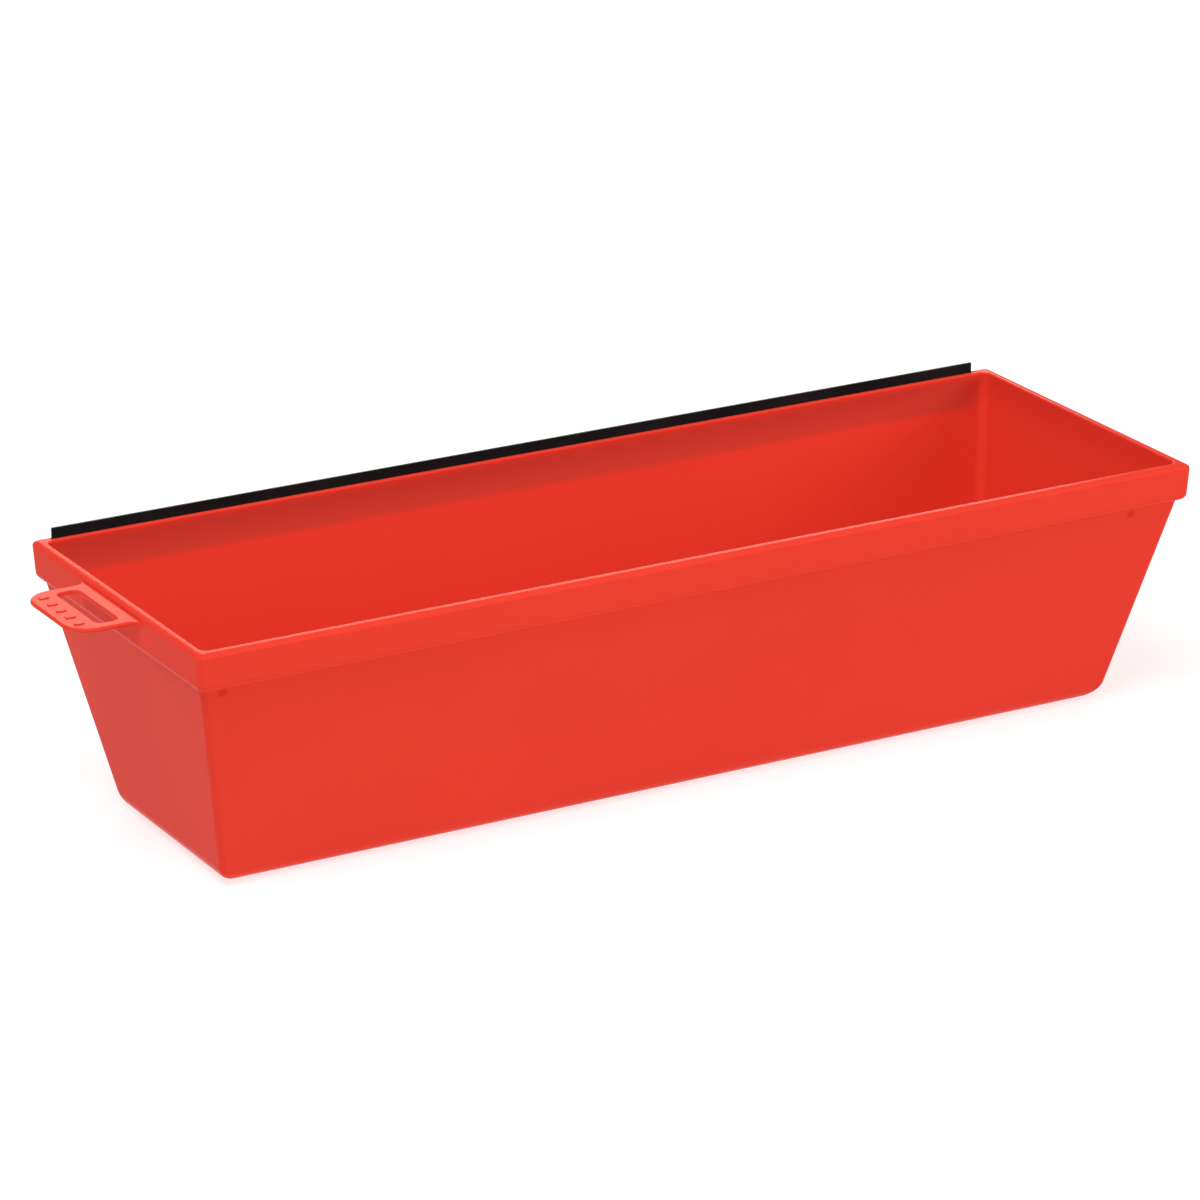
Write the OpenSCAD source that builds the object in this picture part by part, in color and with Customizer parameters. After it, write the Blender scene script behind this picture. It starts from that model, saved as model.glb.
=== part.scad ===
// Mud pan for drywall joint compound: a moulded tapered tub with a stiff rim band,
// a hang tab on its left end, and a black steel wiping strip standing in the rear rim.
// Frame: +X along the length, +Y to the rear, +Z up, origin at the middle of the underside.

/* [Rim] */
// Outer length of the rim
rim_len = 355.6; // [350:0.1:400]
// Outer width of the rim
rim_wid = 121.2; // [110:0.1:140]
// Height of the rim above the surface that the pan stands on
pan_height = 85.8; // [75:0.1:100]
// Height of the band round the outside of the rim
band_h = 12.3; // [10:0.1:14]
// How far the band's faces lean in from top to bottom
band_draft = 0.5; // [0:0.1:1]
// Plan radius of the band's corners
band_corner_r = 2; // [1.5:0.1:5]
// How far the rounded shoulder reaches in from the band over the rim's top
shoulder_w = 2.2; // [1:0.1:2.4]
// How far the same shoulder reaches down the band
shoulder_h = 1.4; // [0.6:0.1:1.4]
// Radius of the band's lower edge
band_edge_r = 2.4; // [0.6:0.1:3]
// Width of the rim's top along the front
front_rim_w = 4.2; // [3.8:0.1:6]
// Width of the rim's top along the two ends
end_rim_w = 3.5; // [3.4:0.1:5]
// Width of the rim's top along the rear, where the strip stands
rear_rim_w = 4.4; // [4.2:0.1:8]

/* [Tub] */
// Length of the underside, measured to where the end walls would meet it
base_len = 320.8; // [260:0.1:330]
// Width of the underside, measured to where the long walls would meet it
base_wid = 73; // [60:0.1:90]
// Thickness of the walls and the floor
wall_t = 2.5; // [2:0.1:3]
// Radius of the edge between the walls and the underside
bottom_r = 6.5; // [5:0.1:12]
// Radius of the tub's upright corners, outside
corner_r = 2; // [1.5:0.1:5]
// Radius of the tub's upright corners, inside
inner_corner_r = 3; // [2.5:0.1:6]

/* [Hang tab] */
// How far the tab reaches out from the rim
tab_reach = 21.4; // [19:0.1:26]
// Width of the tab
tab_wid = 38.4; // [34:0.1:44]
// Thickness of the tab
tab_t = 1.4; // [1.2:0.1:2.4]
// How far the tab's top lies below the rim's top
tab_drop = 1.5; // [1.5:0.1:3]
// Radius of the tab's outer corners
tab_corner_r = 8.5; // [4:0.5:10]
// Radius of the flares where the tab meets the rim
tab_flare_r = 3.2; // [1:0.1:4]
// Length of the hang slot
slot_len = 30.6; // [20:0.2:32]
// Width of the hang slot
slot_wid = 7.4; // [6.6:0.1:8]
// Radius of the hang slot's corners
slot_corner_r = 2.2; // [1:0.1:3.2]
// Number of grip ribs along the tab's outer edge
rib_count = 5; // [1:1:5]

/* [Wiping strip] */
// Length of the steel strip
strip_len = 341.2; // [300:0.1:342]
// Height of the steel strip
strip_h = 12.4; // [11:0.1:14]
// Thickness of the steel strip
strip_t = 0.8; // [0.6:0.05:1]
// How far the strip stands above the rim
strip_proud = 3.4; // [2.5:0.1:5]
// Gap on each side of the strip in its slot
strip_gap = 0.1; // [0.05:0.05:0.2]
// Gap between the strip's left end and the end of its slot
strip_left_gap = 0.4; // [0.2:0.1:1]
// Length of the slot in the rear rim
strip_slot_len = 343.6; // [342.6:0.1:346]
// Thickness of the rim's lip behind the strip
rear_lip_t = 1.6; // [1.5:0.1:2]

/* [Hidden] */

// Steps of a quarter circle in the rounded edges, and in the corners seen from above
edge_steps = 6;
corner_steps = 8;
// Radius of the rim's inner edge
inner_edge_r = 0.6;
// Width of the ledge between the walls and the band's rounded lower edge
band_ledge = 0.1;
// How far a cut runs past the face it opens
past = 5;
// Size of the grip ribs, how far they stand above the tab, and their spacing
rib_len = 3.4;
rib_wid = 1.8;
rib_rise = 0.35;
rib_pitch = 6.5;
// Distance from the tab's outer edge to the middle of the ribs
rib_inset = 4.7;
// Distance from the rim to the near side of the hang slot
slot_inset = 4.5;
// Depth that the tab and its ribs are sunk into what carries them
sink = 1;

band_z = pan_height - band_h;
strip_base_z = pan_height + strip_proud - strip_h;
strip_rear_y = rim_wid / 2 - rear_lip_t - strip_gap;
strip_front_y = strip_rear_y - strip_t;
strip_left_x = -strip_slot_len / 2 + strip_left_gap;
tab_x = -rim_len / 2;
tab_top_z = pan_height - tab_drop;
tab_slot_x = tab_x - slot_inset - slot_wid / 2;
rib_x = tab_x - tab_reach + rib_inset;
first_rib_y = -rib_pitch * (rib_count - 1) / 2;

// The walls' outer planes reach the rim's outer edge at the top of the pan.
x_slope = (rim_len - base_len) / 2 / pan_height;
y_slope = (rim_wid - base_wid) / 2 / pan_height;
// Walls that lean are measured level, so their thickness grows with the slope.
x_wall = wall_t * sqrt(1 + x_slope * x_slope);
y_wall = wall_t * sqrt(1 + y_slope * y_slope);

function outer_x(z) = base_len / 2 + x_slope * z;
function outer_y(z) = base_wid / 2 + y_slope * z;
function inner_x(z) = min(outer_x(z) - x_wall, rim_len / 2 - end_rim_w);
function inner_front(z) = min(outer_y(z) - y_wall, rim_wid / 2 - front_rim_w);
function inner_rear(z) = min(outer_y(z) - y_wall, rim_wid / 2 - rear_rim_w);

// How far the band's rounded lower edge reaches over at the ends and along the sides,
// where a narrow ledge stays between it and the walls
band_edge_x = min(band_edge_r, rim_len / 2 - band_draft - outer_x(band_z) - band_ledge);
band_edge_y = min(band_edge_r, rim_wid / 2 - band_draft - outer_y(band_z) - band_ledge);

// Heights at which the tub's walls meet the upright faces inside the rim, highest first
rear_turn_z = (rim_wid / 2 - rear_rim_w + y_wall - base_wid / 2) / y_slope;
front_turn_z = (rim_wid / 2 - front_rim_w + y_wall - base_wid / 2) / y_slope;
end_turn_z = (rim_len / 2 - end_rim_w + x_wall - base_len / 2) / x_slope;
turn_hi = max(rear_turn_z, front_turn_z, end_turn_z);
turn_lo = min(rear_turn_z, front_turn_z, end_turn_z);
turn_mid = rear_turn_z + front_turn_z + end_turn_z - turn_hi - turn_lo;
// The same heights without those that all but coincide
turns = [turn_hi, if (turn_hi - turn_mid > 0.01) turn_mid, if (turn_mid - turn_lo > 0.01) turn_lo];

// A rounded edge of radius r, followed through a degrees from level to upright:
// how far it still stands back from the upright face, and how far it has risen
function edge_back(r, a) = r * (1 - sin(a));
function edge_rise(r, a) = r * (1 - cos(a));
edge_angles = [for (i = [0 : edge_steps]) 90 * i / edge_steps];

// A level section of the moulding: half length, front and rear widths, corner radius, height
function outer_section(x, y, r, z) = [x, y, y, r, z];
function inner_section(z, back) =
    [inner_x(z) - back, inner_front(z) - back, inner_rear(z) - back, inner_corner_r, z];

// The sections in order: up the outside, over the rim, and down the inside to the floor
bottom_edge = [for (a = edge_angles)
    let (z = edge_rise(bottom_r, a), back = edge_back(bottom_r, a))
        outer_section(outer_x(z) - back, outer_y(z) - back, corner_r, z)];
wall_top = [outer_section(outer_x(band_z), outer_y(band_z), corner_r, band_z)];
band_edge = [for (a = edge_angles)
    outer_section(rim_len / 2 - band_draft - edge_back(band_edge_x, a),
                  rim_wid / 2 - band_draft - edge_back(band_edge_y, a),
                  band_corner_r, band_z + edge_rise(band_edge_r, a))];
shoulder = [for (i = [edge_steps : -1 : 0])
    let (a = edge_angles[i], back = edge_back(shoulder_w, a))
        outer_section(rim_len / 2 - back, rim_wid / 2 - back, band_corner_r - back / 2,
                      pan_height - edge_rise(shoulder_h, a))];
inner_edge = [for (a = edge_angles)
    inner_section(pan_height - edge_rise(inner_edge_r, a), -edge_back(inner_edge_r, a))];
inner_wall = [for (z = turns) inner_section(z, 0)];
floor_r = bottom_r - wall_t;
floor_edge = [for (i = [edge_steps : -1 : 0])
    let (a = edge_angles[i])
        inner_section(wall_t + edge_rise(floor_r, a), edge_back(floor_r, a))];
sections = concat(bottom_edge, wall_top, band_edge, shoulder, inner_edge, inner_wall, floor_edge);

// The points of one section, anticlockwise from above, with round corners
function corner_arc(cx, cy, r, from, z) = [for (i = [0 : corner_steps])
    let (a = from + 90 * i / corner_steps) [cx + r * cos(a), cy + r * sin(a), z]];
function ring(s) = concat(
    corner_arc(s[0] - s[3], s[2] - s[3], s[3], 0, s[4]),
    corner_arc(-s[0] + s[3], s[2] - s[3], s[3], 90, s[4]),
    corner_arc(-s[0] + s[3], -s[1] + s[3], s[3], 180, s[4]),
    corner_arc(s[0] - s[3], -s[1] + s[3], s[3], 270, s[4]));

// The moulding's walls, floor and rim as one closed skin through all the sections
module tub_and_rim() {
    n = 4 * (corner_steps + 1);
    last = len(sections) - 1;
    points = [for (s = sections) each ring(s)];
    underside = [for (i = [0 : n - 1]) i];
    floor_face = [for (i = [n - 1 : -1 : 0]) last * n + i];
    sides = [for (k = [0 : last - 1], i = [0 : n - 1])
        let (j = (i + 1) % n)
            each [[k * n + i, (k + 1) * n + i, (k + 1) * n + j], [k * n + i, (k + 1) * n + j, k * n + j]]];
    polyhedron(points, concat([underside, floor_face], sides));
}

// Outline of a rectangle with round corners, around its middle
module round_box(len_x, len_y, r) {
    square([len_x - 2 * r, len_y], center = true);
    square([len_x, len_y - 2 * r], center = true);
    for (x = [-1, 1], y = [-1, 1])
        translate([x * (len_x / 2 - r), y * (len_y / 2 - r)])
            circle(r = r, $fn = 48);
}

// The hang tab's outline, which runs past the rim's face by the depth it is sunk
module tab_outline() {
    out_x = tab_x - tab_reach;
    difference() {
        union() {
            translate([out_x + tab_reach, 0])
                round_box(2 * tab_reach, tab_wid, tab_corner_r);
            translate([tab_x - tab_flare_r, -tab_wid / 2 - tab_flare_r])
                square([tab_flare_r + sink, tab_wid + 2 * tab_flare_r]);
        }
        for (side = [-1, 1])
            translate([tab_x - tab_flare_r, side * (tab_wid / 2 + tab_flare_r)])
                circle(r = tab_flare_r, $fn = 48);
        translate([tab_x + sink, -tab_wid])
            square([2 * tab_reach, 2 * tab_wid]);
    }
}

// The flat tab with its hang slot and a row of short grip ribs in place of any lettering
module hang_tab() {
    difference() {
        translate([0, 0, tab_top_z - tab_t])
            linear_extrude(tab_t)
                tab_outline();
        translate([tab_slot_x, 0, tab_top_z - tab_t - past])
            linear_extrude(tab_t + 2 * past)
                round_box(slot_wid, slot_len, slot_corner_r);
    }
    for (i = [0 : rib_count - 1])
        translate([rib_x, first_rib_y + i * rib_pitch, tab_top_z - sink])
            linear_extrude(sink + rib_rise)
                round_box(rib_len, rib_wid, rib_wid / 3);
}

// The one-piece moulding: tub, rim band and hang tab, with the slot for the strip
module pan() {
    color([0.89, 0.2, 0.15])
        difference() {
            union() {
                tub_and_rim();
                hang_tab();
            }
            translate([-strip_slot_len / 2, strip_front_y - strip_gap, strip_base_z])
                cube([strip_slot_len, strip_t + 2 * strip_gap, strip_h + past]);
        }
}

// The steel strip that the taping knife is wiped on, standing on the floor of its slot
module wiping_strip() {
    color([0.08, 0.08, 0.09])
        translate([strip_left_x, strip_front_y, strip_base_z])
            cube([strip_len, strip_t, strip_h]);
}

pan();
wiping_strip();
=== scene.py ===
import math

import bmesh
import bpy
from mathutils import Matrix, Vector


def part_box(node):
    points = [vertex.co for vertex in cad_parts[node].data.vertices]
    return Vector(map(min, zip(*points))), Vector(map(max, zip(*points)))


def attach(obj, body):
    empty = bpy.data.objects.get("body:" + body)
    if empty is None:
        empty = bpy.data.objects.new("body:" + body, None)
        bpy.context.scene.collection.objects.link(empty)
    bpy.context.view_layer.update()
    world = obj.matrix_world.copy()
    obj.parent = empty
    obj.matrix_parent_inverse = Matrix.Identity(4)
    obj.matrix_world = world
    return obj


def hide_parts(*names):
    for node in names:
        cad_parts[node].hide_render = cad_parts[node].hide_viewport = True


# A mud pan for drywall joint compound: a moulded red tub with a rim band and a hang tab,
# and a black steel wiping strip that stands in a slot in its rear rim.

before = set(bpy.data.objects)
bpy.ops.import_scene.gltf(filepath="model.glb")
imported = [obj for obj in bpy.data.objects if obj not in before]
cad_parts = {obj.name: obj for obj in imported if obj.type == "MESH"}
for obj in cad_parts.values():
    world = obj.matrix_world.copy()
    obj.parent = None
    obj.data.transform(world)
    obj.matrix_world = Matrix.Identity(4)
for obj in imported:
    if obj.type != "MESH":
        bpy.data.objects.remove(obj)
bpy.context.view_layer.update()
MM = 0.001

# Places taken from the parts in model.glb
PAN_LOW, PAN_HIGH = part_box("pan")
STRIP_LOW, STRIP_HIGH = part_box("wiping_strip")
RIM_HALF_LEN = PAN_HIGH.x
RIM_HALF_WID = PAN_HIGH.y
PAN_TOP = PAN_HIGH.z
TAB_TIP = PAN_LOW.x

# The moulding's own sizes
BAND_H = 12.3 * MM
BAND_DRAFT = 0.5 * MM
BAND_CORNER_R = 2 * MM
BAND_EDGE_R = 2.4 * MM
BAND_LEDGE = 0.1 * MM
SHOULDER_W = 2.2 * MM
SHOULDER_H = 1.4 * MM
FRONT_RIM_W = 4.2 * MM
END_RIM_W = 3.5 * MM
REAR_RIM_W = 4.4 * MM
INNER_EDGE_R = 0.6 * MM
BASE_HALF_LEN = 160.4 * MM
BASE_HALF_WID = 36.5 * MM
WALL_T = 2.5 * MM
BOTTOM_R = 6.5 * MM
CORNER_R = 2 * MM
INNER_CORNER_R = 3 * MM
# How softly the leaning walls run into the upright faces inside the rim
TURN_SOFTNESS = 1.2 * MM

TAB_WID = 38.4 * MM
TAB_T = 1.4 * MM
TAB_DROP = 1.5 * MM
TAB_CORNER_R = 8.5 * MM
TAB_FLARE_R = 3.2 * MM
TAB_EDGE_R = 0.65 * MM
HANG_SLOT_LEN = 30.6 * MM
HANG_SLOT_WID = 7.4 * MM
HANG_SLOT_R = 2.2 * MM
HANG_SLOT_INSET = 4.5 * MM
HANG_SLOT_EDGE_R = 0.4 * MM
RIB_COUNT = 5
RIB_LEN = 3.4 * MM
RIB_WID = 1.8 * MM
RIB_RISE = 0.35 * MM
RIB_PITCH = 6.5 * MM
RIB_INSET = 4.7 * MM
RIB_END_R = RIB_WID / 3
RIB_EDGE_R = 0.7 * RIB_RISE
# How far a piece that is added or cut reaches past the surface that it meets
SINK = 1 * MM
# Small round marks that the mould left on the front, just under the band, as (x, z)
MOULDING_MARKS = ((-168.4 * MM, 71.5 * MM), (157.1 * MM, 71.2 * MM))
MARK_R = 1.9 * MM

STRIP_GAP = 0.1 * MM
STRIP_SLOT_LEN = 343.6 * MM
STRIP_SLOT_LEAD = 0.2 * MM
STRIP_EDGE_R = 0.12 * MM
# Height of the rubbed line along the strip's top edge
RUBBED_H = 0.35 * MM

# Angles, in degrees, past which an edge counts as sharp
PAN_SHARP_ANGLE = 35
STRIP_SHARP_ANGLE = 60

# Steps of the rounded edges, of the corners seen from above, and of the walls
EDGE_STEPS = 8
CORNER_STEPS = 10
RIB_STEPS = 4
STRIP_EDGE_STEPS = 3
LONG_STEPS = 40
SHORT_STEPS = 12
WALL_STEPS = 14

# The studio: its floor, the room's light, and the camera, which is fitted to the photo's view
FLOOR_HALF = 4
FLOOR_GAP = 0.05 * MM
FLOOR_GLOW = 0.73
ROOM_LIGHT = 0.24
CAMERA_PLACE = (-0.82832, -1.45992, 0.66076)
CAMERA_YAW = math.radians(29.3286)
CAMERA_PITCH = math.radians(19.9192)
CAMERA_ROLL = math.radians(-0.2673)
CAMERA_LENS = 167.544
SENSOR_WID = 36

# The walls' slopes, and the walls' thickness measured level
BAND_Z = PAN_TOP - BAND_H
X_SLOPE = (RIM_HALF_LEN - BASE_HALF_LEN) / PAN_TOP
Y_SLOPE = (RIM_HALF_WID - BASE_HALF_WID) / PAN_TOP
X_WALL = WALL_T * math.sqrt(1 + X_SLOPE ** 2)
Y_WALL = WALL_T * math.sqrt(1 + Y_SLOPE ** 2)


def outer_x(z):
    """Half the tub's length outside at height z, under the band."""
    return BASE_HALF_LEN + X_SLOPE * z


def outer_y(z):
    """Half the tub's width outside at height z, under the band."""
    return BASE_HALF_WID + Y_SLOPE * z


def soft_min(a, b, softness):
    """The smaller of a and b, blended where they are closer than softness."""
    h = max(softness - abs(a - b), 0) / softness
    return min(a, b) - h * h * softness / 4


def inner_x(z):
    """Half the length inside at height z."""
    return soft_min(outer_x(z) - X_WALL, RIM_HALF_LEN - END_RIM_W, TURN_SOFTNESS)


def inner_front(z):
    """How far the inside reaches towards the front at height z."""
    return soft_min(outer_y(z) - Y_WALL, RIM_HALF_WID - FRONT_RIM_W, TURN_SOFTNESS)


def inner_rear(z):
    """How far the inside reaches towards the rear at height z."""
    return soft_min(outer_y(z) - Y_WALL, RIM_HALF_WID - REAR_RIM_W, TURN_SOFTNESS)


def edge_angles():
    """The steps of a rounded edge, from level to upright."""
    return [math.pi / 2 * i / EDGE_STEPS for i in range(EDGE_STEPS + 1)]


def edge_back(r, a):
    """How far a rounded edge stands back from the upright face, a radians on from level."""
    return r * (1 - math.sin(a))


def edge_rise(r, a):
    """How far the same rounded edge has risen from the flat face."""
    return r * (1 - math.cos(a))


# A level section of the moulding is (half length, front, rear, corner radius, height).
def outer_section(x, y, r, z):
    """A section that reaches as far to the front as to the rear."""
    return (x, y, y, r, z)


def inner_section(z, back):
    """A section of the inside at height z, drawn in by back."""
    return (inner_x(z) - back, inner_front(z) - back, inner_rear(z) - back, INNER_CORNER_R, z)


def steps_between(low, high, count):
    """Evenly spaced values from low to high, without the two ends."""
    return [low + (high - low) * i / count for i in range(1, count)]


def moulding_sections():
    """Up the outside, over the rim, and down the inside to the floor."""
    sections = []
    for a in edge_angles():
        z = edge_rise(BOTTOM_R, a)
        back = edge_back(BOTTOM_R, a)
        sections.append(outer_section(outer_x(z) - back, outer_y(z) - back, CORNER_R, z))
    for z in steps_between(BOTTOM_R, BAND_Z, WALL_STEPS):
        sections.append(outer_section(outer_x(z), outer_y(z), CORNER_R, z))
    sections.append(outer_section(outer_x(BAND_Z), outer_y(BAND_Z), CORNER_R, BAND_Z))
    edge_x = min(BAND_EDGE_R, RIM_HALF_LEN - BAND_DRAFT - outer_x(BAND_Z) - BAND_LEDGE)
    edge_y = min(BAND_EDGE_R, RIM_HALF_WID - BAND_DRAFT - outer_y(BAND_Z) - BAND_LEDGE)
    for a in edge_angles():
        sections.append(outer_section(
            RIM_HALF_LEN - BAND_DRAFT - edge_back(edge_x, a),
            RIM_HALF_WID - BAND_DRAFT - edge_back(edge_y, a),
            BAND_CORNER_R, BAND_Z + edge_rise(BAND_EDGE_R, a)))
    for a in reversed(edge_angles()):
        back = edge_back(SHOULDER_W, a)
        sections.append(outer_section(RIM_HALF_LEN - back, RIM_HALF_WID - back,
                                      BAND_CORNER_R - back / 2, PAN_TOP - edge_rise(SHOULDER_H, a)))
    for a in edge_angles():
        z = PAN_TOP - edge_rise(INNER_EDGE_R, a)
        sections.append(inner_section(z, -edge_back(INNER_EDGE_R, a)))
    for z in reversed(steps_between(BOTTOM_R, PAN_TOP - INNER_EDGE_R, 2 * WALL_STEPS)):
        sections.append(inner_section(z, 0))
    floor_r = BOTTOM_R - WALL_T
    for a in reversed(edge_angles()):
        sections.append(inner_section(WALL_T + edge_rise(floor_r, a), edge_back(floor_r, a)))
    return sections


def corner_points(cx, cy, r, start, z):
    """A quarter circle, seen from above, from the angle start."""
    points = []
    for i in range(CORNER_STEPS + 1):
        a = start + math.pi / 2 * i / CORNER_STEPS
        points.append(Vector((cx + r * math.cos(a), cy + r * math.sin(a), z)))
    return points


def ring_points(section):
    """The points of a section, anticlockwise from above, with its straight runs divided."""
    x, front, rear, r, z = section
    corners = [
        corner_points(x - r, rear - r, r, 0, z),
        corner_points(-x + r, rear - r, r, math.pi / 2, z),
        corner_points(-x + r, -front + r, r, math.pi, z),
        corner_points(x - r, -front + r, r, 3 * math.pi / 2, z),
    ]
    points = []
    for k, corner in enumerate(corners):
        points += corner
        steps = LONG_STEPS if k % 2 == 0 else SHORT_STEPS
        nearest = corners[(k + 1) % 4][0]
        points += [corner[-1].lerp(nearest, i / steps) for i in range(1, steps)]
    return points


def loft(bm, rings):
    """Quads between rings of vertices that match one another, and a face over each end."""
    count = len(rings[0])
    for low, high in zip(rings, rings[1:]):
        for i in range(count):
            j = (i + 1) % count
            bm.faces.new((low[i], low[j], high[j], high[i]))
    bm.faces.new(rings[0])
    bm.faces.new(rings[-1])


def make_mesh(name, bm):
    """A linked object with the bmesh's mesh."""
    bmesh.ops.recalc_face_normals(bm, faces=bm.faces)
    mesh = bpy.data.meshes.new(name)
    bm.to_mesh(mesh)
    bm.free()
    piece = bpy.data.objects.new(name, mesh)
    bpy.context.scene.collection.objects.link(piece)
    return piece


def make_tub():
    """The walls, floor and rim as one closed skin."""
    bm = bmesh.new()
    rings = [[bm.verts.new(p) for p in ring_points(s)] for s in moulding_sections()]
    loft(bm, rings)
    return make_mesh("moulded_pan", bm)


def apply_boolean(piece, tool, operation):
    """Adds or cuts with another mesh, which is then removed."""
    modifier = piece.modifiers.new(operation.lower(), "BOOLEAN")
    modifier.operation = operation
    modifier.solver = "EXACT"
    modifier.object = tool
    depsgraph = bpy.context.evaluated_depsgraph_get()
    result = bpy.data.meshes.new_from_object(piece.evaluated_get(depsgraph))
    piece.modifiers.clear()
    piece.data = result
    bpy.data.objects.remove(tool)


def rounded_outline(low_x, high_x, half_y, r, steps):
    """Outline of a rectangle with round corners, anticlockwise, as (x, y) pairs."""
    centres = [(high_x - r, half_y - r), (low_x + r, half_y - r),
               (low_x + r, -half_y + r), (high_x - r, -half_y + r)]
    outline = []
    for k, (cx, cy) in enumerate(centres):
        for i in range(steps + 1):
            a = math.pi / 2 * (k + i / steps)
            outline.append((cx + r * math.cos(a), cy + r * math.sin(a)))
    return outline


def tab_outline(grow):
    """Outline of the hang tab, moved out by grow, with flares that run into the band."""
    root = -RIM_HALF_LEN
    half = TAB_WID / 2 + grow
    tip = TAB_TIP - grow
    r = TAB_CORNER_R + grow
    flare = TAB_FLARE_R - grow
    flare_points = [(root - flare + flare * math.cos(math.pi / 2 * i / CORNER_STEPS),
                     half + flare - flare * math.sin(math.pi / 2 * i / CORNER_STEPS))
                    for i in range(CORNER_STEPS + 1)]
    corner = [(tip + r - r * math.sin(math.pi / 2 * i / CORNER_STEPS),
               half - r + r * math.cos(math.pi / 2 * i / CORNER_STEPS))
              for i in range(CORNER_STEPS + 1)]
    upper = [(root + SINK, half + flare)] + flare_points + corner
    lower = [(x, -y) for x, y in reversed(upper)]
    return upper + lower


def prism_with_round_edges(name, outline_at, low_z, high_z, r):
    """A flat plate whose outline, outline_at(grow), is drawn in round its top and bottom edges."""
    bm = bmesh.new()
    levels = [(-edge_back(r, a), low_z + edge_rise(r, a)) for a in edge_angles()]
    levels += [(-edge_back(r, a), high_z - edge_rise(r, a)) for a in reversed(edge_angles())]
    rings = [[bm.verts.new((x, y, z)) for x, y in outline_at(grow)] for grow, z in levels]
    loft(bm, rings)
    return make_mesh(name, bm)


def hang_slot_cutter(low_z, high_z):
    """The hang slot's cutter, which widens round the slot's two edges."""
    bm = bmesh.new()
    near = -RIM_HALF_LEN - HANG_SLOT_INSET
    levels = [(HANG_SLOT_EDGE_R, low_z - SINK)]
    levels += [(edge_back(HANG_SLOT_EDGE_R, a), low_z + edge_rise(HANG_SLOT_EDGE_R, a))
               for a in edge_angles()]
    levels += [(edge_back(HANG_SLOT_EDGE_R, a), high_z - edge_rise(HANG_SLOT_EDGE_R, a))
               for a in reversed(edge_angles())]
    levels += [(HANG_SLOT_EDGE_R, high_z + SINK)]
    rings = []
    for grow, z in levels:
        outline = rounded_outline(near - HANG_SLOT_WID - grow, near + grow,
                                  HANG_SLOT_LEN / 2 + grow, HANG_SLOT_R + grow, CORNER_STEPS)
        rings.append([bm.verts.new((x, y, z)) for x, y in outline])
    loft(bm, rings)
    return make_mesh("hang_slot_cutter", bm)


def make_rib(x, y, top):
    """One grip rib, sunk into the tab, with a rounded top."""
    def outline(grow):
        moved = rounded_outline(-RIB_LEN / 2 - grow, RIB_LEN / 2 + grow,
                                RIB_WID / 2 + grow, RIB_END_R + grow, RIB_STEPS)
        return [(x + dx, y + dy) for dx, dy in moved]
    return prism_with_round_edges("rib", outline, top - SINK, top + RIB_RISE, RIB_EDGE_R)


def make_tab():
    """The hang tab with its slot and its row of grip ribs."""
    top = PAN_TOP - TAB_DROP
    tab = prism_with_round_edges("tab", tab_outline, top - TAB_T, top, TAB_EDGE_R)
    apply_boolean(tab, hang_slot_cutter(top - TAB_T, top), "DIFFERENCE")
    rib_x = TAB_TIP + RIB_INSET
    for i in range(RIB_COUNT):
        rib_y = RIB_PITCH * (i - (RIB_COUNT - 1) / 2)
        apply_boolean(tab, make_rib(rib_x, rib_y, top), "UNION")
    return tab


def strip_slot_cutter():
    """The slot for the strip, with a small lead-in along its mouth."""
    lead = STRIP_SLOT_LEAD
    half_len = STRIP_SLOT_LEN / 2
    front = STRIP_LOW.y - STRIP_GAP
    rear = STRIP_HIGH.y + STRIP_GAP
    levels = [(0, STRIP_LOW.z), (0, PAN_TOP - lead), (lead, PAN_TOP), (lead, PAN_TOP + SINK)]
    bm = bmesh.new()
    rings = []
    for grow, z in levels:
        corners = [(half_len + grow, rear + grow), (-half_len - grow, rear + grow),
                   (-half_len - grow, front - grow), (half_len + grow, front - grow)]
        rings.append([bm.verts.new((x, y, z)) for x, y in corners])
    loft(bm, rings)
    return make_mesh("strip_slot_cutter", bm)


def shade(piece, angle_deg):
    """Smooth shading that keeps edges sharper than the angle, with flat faces kept flat."""
    piece.data.shade_smooth()
    piece.data.set_sharp_from_angle(angle=math.radians(angle_deg))
    weighted = piece.modifiers.new("weighted_normals", "WEIGHTED_NORMAL")
    weighted.keep_sharp = True
    weighted.mode = "FACE_AREA"


def make_pan():
    """The whole moulding: the tub with its hang tab and the slot for the strip."""
    pan = make_tub()
    apply_boolean(pan, make_tab(), "UNION")
    apply_boolean(pan, strip_slot_cutter(), "DIFFERENCE")
    shade(pan, PAN_SHARP_ANGLE)
    return pan


def make_strip():
    """The flat steel strip, with all its edges eased."""
    bm = bmesh.new()
    bmesh.ops.create_cube(bm, size=1)
    size = STRIP_HIGH - STRIP_LOW
    middle = (STRIP_HIGH + STRIP_LOW) / 2
    bm.transform(Matrix.Translation(middle) @ Matrix.Diagonal((*size, 1)))
    long_edges = [e for e in bm.edges if abs(e.verts[0].co.x - e.verts[1].co.x) > size.x / 2]
    bmesh.ops.subdivide_edges(bm, edges=long_edges, cuts=LONG_STEPS, use_grid_fill=True)
    sharp = [e for e in bm.edges if e.calc_face_angle(0) > math.radians(STRIP_SHARP_ANGLE)]
    bmesh.ops.bevel(bm, geom=sharp, offset=STRIP_EDGE_R, segments=STRIP_EDGE_STEPS, profile=0.5,
                    affect="EDGES")
    strip = make_mesh("steel_strip", bm)
    shade(strip, STRIP_SHARP_ANGLE)
    return strip


# Materials

def new_material(name):
    """An empty node material, its Principled shader and its node tree."""
    material = bpy.data.materials.new(name)
    material.use_nodes = True
    tree = material.node_tree
    shader = tree.nodes["Principled BSDF"]
    return material, tree, shader


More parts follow.
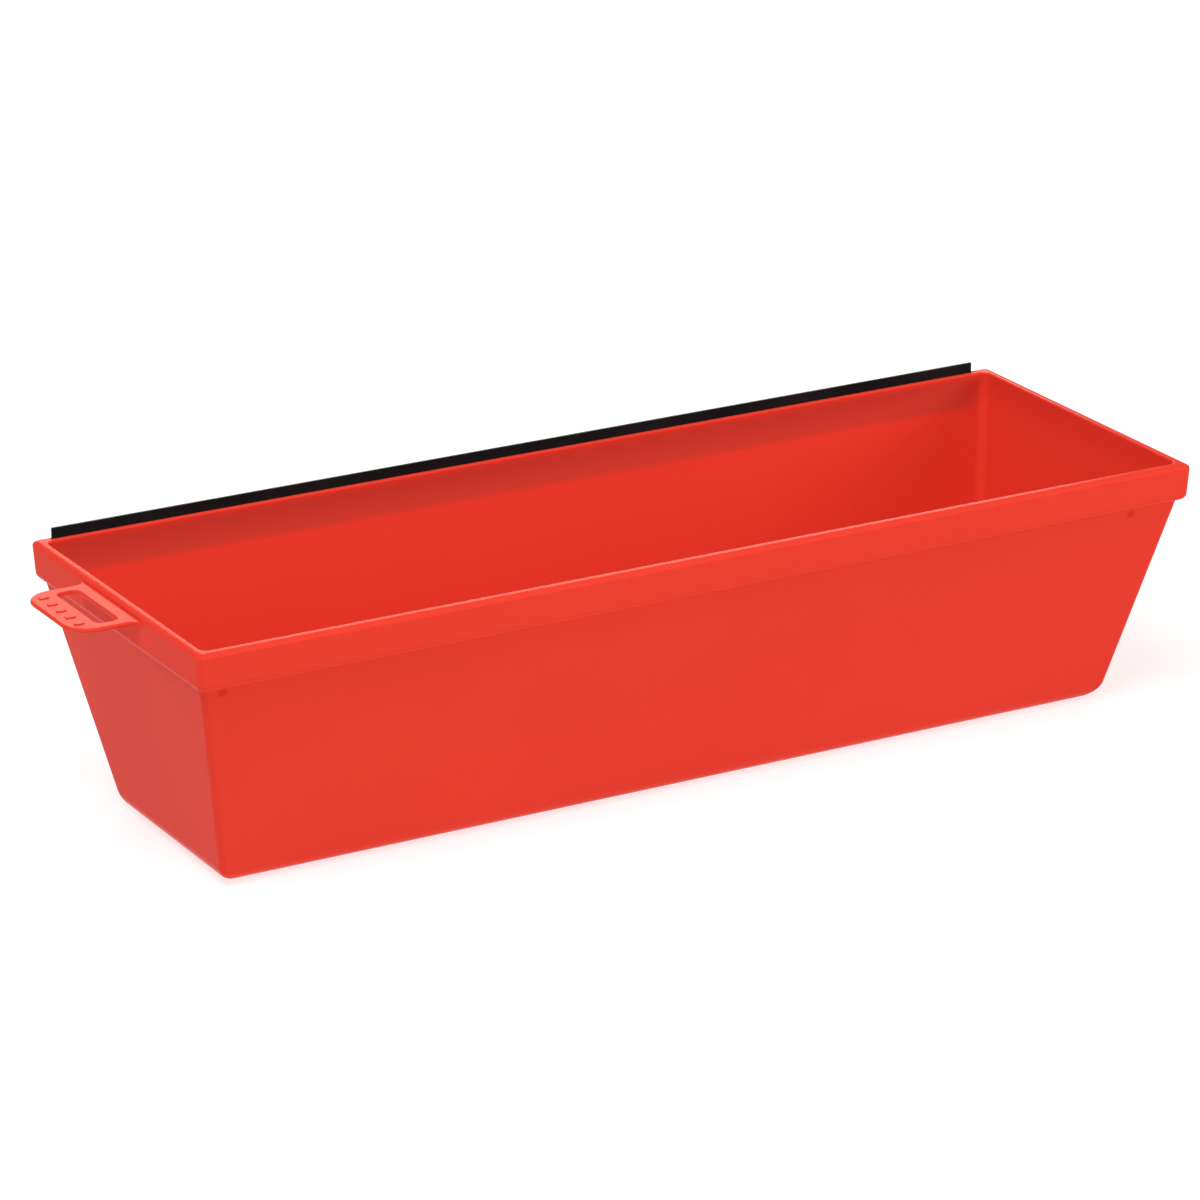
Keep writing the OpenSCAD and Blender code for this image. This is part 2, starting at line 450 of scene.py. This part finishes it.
def add_node(tree, kind, inputs=(), **settings):
    """A node with its settings and its unlinked inputs."""
    node = tree.nodes.new(kind)
    for key, value in settings.items():
        setattr(node, key, value)
    for key, value in inputs:
        node.inputs[key].default_value = value
    return node


def add_noise(tree, place, scale, detail):
    """A noise value, with scale in cells for each metre."""
    noise = add_node(tree, "ShaderNodeTexNoise",
                     [("Scale", scale), ("Detail", detail), ("Roughness", 0.5)])
    tree.links.new(place, noise.inputs["Vector"])
    return noise.outputs["Fac"]


def add_ramp(tree, value, low, high, low_out, high_out):
    """value, mapped from low..high to low_out..high_out and held there."""
    node = add_node(tree, "ShaderNodeMapRange",
                    [("From Min", low), ("From Max", high), ("To Min", low_out), ("To Max", high_out)])
    tree.links.new(value, node.inputs["Value"])
    return node.outputs["Result"]


def add_maths(tree, operation, a, b):
    """A maths node on two sockets."""
    node = add_node(tree, "ShaderNodeMath", operation=operation)
    tree.links.new(a, node.inputs[0])
    tree.links.new(b, node.inputs[1])
    return node.outputs["Value"]


def add_mix(tree, factor, a, b):
    """A colour mixed from a to b by factor. a and b are sockets or colours."""
    node = add_node(tree, "ShaderNodeMix", data_type="RGBA")
    tree.links.new(factor, node.inputs["Factor"])
    for key, value in ((6, a), (7, b)):
        if isinstance(value, tuple):
            node.inputs[key].default_value = (*value, 1)
        else:
            tree.links.new(value, node.inputs[key])
    return node.outputs[2]


def add_bump(tree, shader, height, depth, strength):
    """A bump from the height socket, depth in metres, into the shader."""
    bump = add_node(tree, "ShaderNodeBump", [("Distance", depth), ("Strength", strength)])
    tree.links.new(height, bump.inputs["Height"])
    tree.links.new(bump.outputs["Normal"], shader.inputs["Normal"])


def object_place(tree, stretch=(1, 1, 1)):
    """Object coordinates, in metres, stretched along the axes."""
    place = add_node(tree, "ShaderNodeTexCoord")
    mapping = add_node(tree, "ShaderNodeMapping", [("Scale", stretch)])
    tree.links.new(place.outputs["Object"], mapping.inputs["Vector"])
    return mapping.outputs["Vector"]


def axis_window(tree, value, low, high, soft):
    """1 where value lies between low and high, falling to 0 over soft on each side."""
    rise = add_ramp(tree, value, low - soft, low + soft, 0, 1)
    fall = add_ramp(tree, value, high - soft, high + soft, 1, 0)
    return add_maths(tree, "MULTIPLY", rise, fall)


def add_spot(tree, place, centre, radius):
    """1 at centre, falling to 0 at radius."""
    distance = add_node(tree, "ShaderNodeVectorMath", [(1, centre)], operation="DISTANCE")
    tree.links.new(place, distance.inputs[0])
    return add_ramp(tree, distance.outputs["Value"], 0.5 * radius, radius, 1, 0)


def painted_rear_rim_shade(tree, place):
    """1 in front of the strip, where painted shade makes the rear rim's inside darker than the wall
    below it.
    """
    front = outer_y(BAND_Z) - 2 * Y_WALL
    low = BAND_Z + 1.2 * MM
    high = PAN_TOP - 1.5 * MM
    axes = add_node(tree, "ShaderNodeSeparateXYZ")
    tree.links.new(place, axes.inputs[0])
    along = axis_window(tree, axes.outputs["X"], STRIP_LOW.x, STRIP_HIGH.x, 3 * MM)
    deep = axis_window(tree, axes.outputs["Y"], front, STRIP_LOW.y, 0.5 * MM)
    up = axis_window(tree, axes.outputs["Z"], low, high, 1 * MM)
    return add_maths(tree, "MULTIPLY", add_maths(tree, "MULTIPLY", along, deep), up)


def pan_material():
    """Satin moulded polypropylene: fine grain, faint clouding, specks, the moulding marks, and painted
    shade inside the rear rim.
    """
    material, tree, shader = new_material("pan_plastic")
    place = object_place(tree)
    cloud = add_noise(tree, place, scale=9, detail=3)
    flow = add_noise(tree, object_place(tree, (0.25, 1, 1)), scale=60, detail=4)
    grain = add_noise(tree, place, scale=2600, detail=2)
    speck = add_noise(tree, place, scale=900, detail=1)
    red = (0.78, 0.050, 0.029)
    deep_red = (0.75, 0.046, 0.028)
    pale_red = (0.80, 0.066, 0.042)
    painted_shade_red = (0.62, 0.050, 0.034)
    mark_red = (0.68, 0.030, 0.017)
    base = add_mix(tree, add_ramp(tree, cloud, 0.3, 0.7, 0, 1), red, deep_red)
    base = add_mix(tree, add_ramp(tree, speck, 0.76, 0.80, 0, 0.35), base, pale_red)
    # Painted shade: the rear rim's inside, in front of the strip, is coloured a darker red
    base = add_mix(tree, painted_rear_rim_shade(tree, place), base, painted_shade_red)
    for x, z in MOULDING_MARKS:
        spot = add_spot(tree, place, (x, -outer_y(z), z), MARK_R)
        base = add_mix(tree, spot, base, mark_red)
    tree.links.new(base, shader.inputs["Base Color"])
    rough = add_maths(tree, "ADD", add_ramp(tree, grain, 0.35, 0.7, 0.14, 0.17),
                      add_ramp(tree, flow, 0.4, 0.7, 0, 0.02))
    tree.links.new(rough, shader.inputs["Roughness"])
    shader.inputs["IOR"].default_value = 1.49
    shader.inputs["Specular IOR Level"].default_value = 0.013
    add_bump(tree, shader, grain, depth=0.006 * MM, strength=0.3)
    return material


def strip_material():
    """Black oxide on spring steel, rubbed a little brighter along its top edge."""
    material, tree, shader = new_material("strip_steel")
    place = object_place(tree)
    rolled = add_noise(tree, object_place(tree, (0.04, 1, 1)), scale=1500, detail=3)
    cloud = add_noise(tree, place, scale=35, detail=4)
    separate = add_node(tree, "ShaderNodeSeparateXYZ")
    tree.links.new(place, separate.inputs[0])
    height = separate.outputs["Z"]
    near_top = add_ramp(tree, height, STRIP_HIGH.z - RUBBED_H, STRIP_HIGH.z, 0, 1)
    worn = add_maths(tree, "MULTIPLY", near_top, add_ramp(tree, cloud, 0.45, 0.65, 0, 0.6))
    black = (0.0055, 0.009, 0.0095)
    grey_black = (0.010, 0.0155, 0.016)
    rubbed = (0.04, 0.04, 0.042)
    base = add_mix(tree, add_ramp(tree, cloud, 0.35, 0.65, 0, 1), black, grey_black)
    base = add_mix(tree, worn, base, rubbed)
    tree.links.new(base, shader.inputs["Base Color"])
    tree.links.new(add_ramp(tree, rolled, 0.3, 0.7, 0.42, 0.55), shader.inputs["Roughness"])
    shader.inputs["Specular IOR Level"].default_value = 0.12
    add_bump(tree, shader, rolled, depth=0.01 * MM, strength=0.3)
    return material


def floor_material():
    """A plain grey that glows, so that the floor shows white and its shadows are faint."""
    material, tree, shader = new_material("studio_floor")
    mottle = add_noise(tree, object_place(tree), scale=14, detail=3)
    grey = (0.34, 0.34, 0.34)
    light_grey = (0.36, 0.36, 0.36)
    base = add_mix(tree, add_ramp(tree, mottle, 0.3, 0.7, 0, 1), grey, light_grey)
    tree.links.new(base, shader.inputs["Base Color"])
    shader.inputs["Roughness"].default_value = 0.9
    shader.inputs["Specular IOR Level"].default_value = 0.1
    shader.inputs["Emission Color"].default_value = (1, 1, 1, 1)
    shader.inputs["Emission Strength"].default_value = FLOOR_GLOW
    return material


# Stage, light and camera

def make_floor():
    """The floor, just under the pan, so that it doesn't lie in the plane of the pan's underside."""
    half = FLOOR_HALF
    z = -FLOOR_GAP
    mesh = bpy.data.meshes.new("studio_floor")
    corners = [(-half, -half, z), (half, -half, z), (half, half, z), (-half, half, z)]
    mesh.from_pydata(corners, [], [(0, 1, 2, 3)])
    floor = bpy.data.objects.new("studio_floor", mesh)
    bpy.context.scene.collection.objects.link(floor)
    floor.data.materials.append(floor_material())


def add_softbox(name, place, aim, size, watts, colour=(1, 1, 1), mirrored=True):
    """A rectangular softbox at place that faces aim. The camera doesn't see it, and the pieces
    show its reflection only if it is mirrored."""
    light = bpy.data.lights.new(name, "AREA")
    light.shape = "RECTANGLE"
    light.size, light.size_y = size
    light.energy = watts
    light.color = colour
    box = bpy.data.objects.new(name, light)
    box.location = place
    box.rotation_mode = "QUATERNION"
    box.rotation_quaternion = (Vector(aim) - Vector(place)).to_track_quat("-Z", "Y")
    box.visible_camera = False
    box.visible_glossy = mirrored
    bpy.context.scene.collection.objects.link(box)


def light_the_scene():
    """An even room, a softbox high in front on the left, one low in front on the right, and a
    wide warm one behind."""
    scene = bpy.context.scene
    scene.world = bpy.data.worlds.new("studio_world")
    scene.world.use_nodes = True
    background = scene.world.node_tree.nodes["Background"]
    background.inputs["Color"].default_value = (1, 1, 1, 1)
    background.inputs["Strength"].default_value = ROOM_LIGHT
    add_softbox("softbox_high", place=(-0.76, -0.6, 1.85), aim=(0, 0, 0),
                size=(1.2, 1), watts=37, mirrored=False)
    add_softbox("softbox_front", place=(1.1, -0.9, 0.5), aim=(0.1, 0, 0.05),
                size=(0.8, 0.5), watts=7.5, mirrored=False)
    add_softbox("softbox_back", place=(1.02, 2.5, 1.08), aim=(0, 0, 0.08),
                size=(1.5, 0.8), watts=24, colour=(1, 0.9, 0.7))
    scene.view_settings.view_transform = "Standard"
    scene.view_settings.look = "None"


def make_camera():
    """A long lens that looks down at the pan, from in front and round towards its left end."""
    across = math.cos(CAMERA_PITCH)
    forward = Vector((math.sin(CAMERA_YAW) * across, math.cos(CAMERA_YAW) * across,
                      -math.sin(CAMERA_PITCH)))
    level = Vector((math.cos(CAMERA_YAW), -math.sin(CAMERA_YAW), 0))
    upright = level.cross(forward)
    right = math.cos(CAMERA_ROLL) * level + math.sin(CAMERA_ROLL) * upright
    up = math.cos(CAMERA_ROLL) * upright - math.sin(CAMERA_ROLL) * level
    data = bpy.data.cameras.new("camera")
    data.sensor_width = SENSOR_WID
    data.lens = CAMERA_LENS
    camera = bpy.data.objects.new("camera", data)
    turn = Matrix((right, up, -forward)).transposed()
    camera.matrix_world = Matrix.Translation(CAMERA_PLACE) @ turn.to_4x4()
    bpy.context.scene.collection.objects.link(camera)
    bpy.context.scene.camera = camera


make_camera()
light_the_scene()
make_floor()

pan = make_pan()
pan.data.materials.clear()
pan.data.materials.append(pan_material())
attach(pan, "tub")
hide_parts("pan")

strip = make_strip()
strip.data.materials.append(strip_material())
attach(strip, "strip")
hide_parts("wiping_strip")
